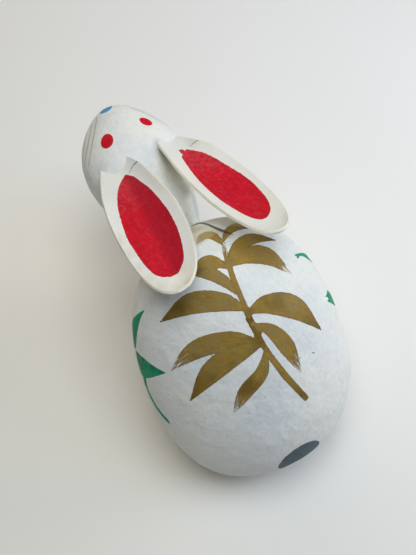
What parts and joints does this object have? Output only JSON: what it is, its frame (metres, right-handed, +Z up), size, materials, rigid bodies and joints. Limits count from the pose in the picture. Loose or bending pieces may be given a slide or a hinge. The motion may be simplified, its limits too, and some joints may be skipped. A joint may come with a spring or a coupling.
{
  "type": "papier-mache rabbit figure",
  "caption": "Crouching papier-mache rabbit ornament, two long ears laid back over its rounded body, standing on a flat underside.",
  "frame": {"origin": "on the surface the figure stands on, under the middle of its box", "axes": "+Z up, nose towards -Y, +X to the rabbit's left"},
  "size_m": [0.1458, 0.2737, 0.1936],
  "materials": {
    "shell_paint": "matt chalk-white paint with brushed gold, red, green, blue and grey marks",
    "ear_paint": "cream-white painted paper sheet, crimson in the hollow"
  },
  "bodies": {
    "root": {"body_shell": "shell_paint", "ear_left": "ear_paint", "ear_right": "ear_paint"}
  },
  "joints": []
}
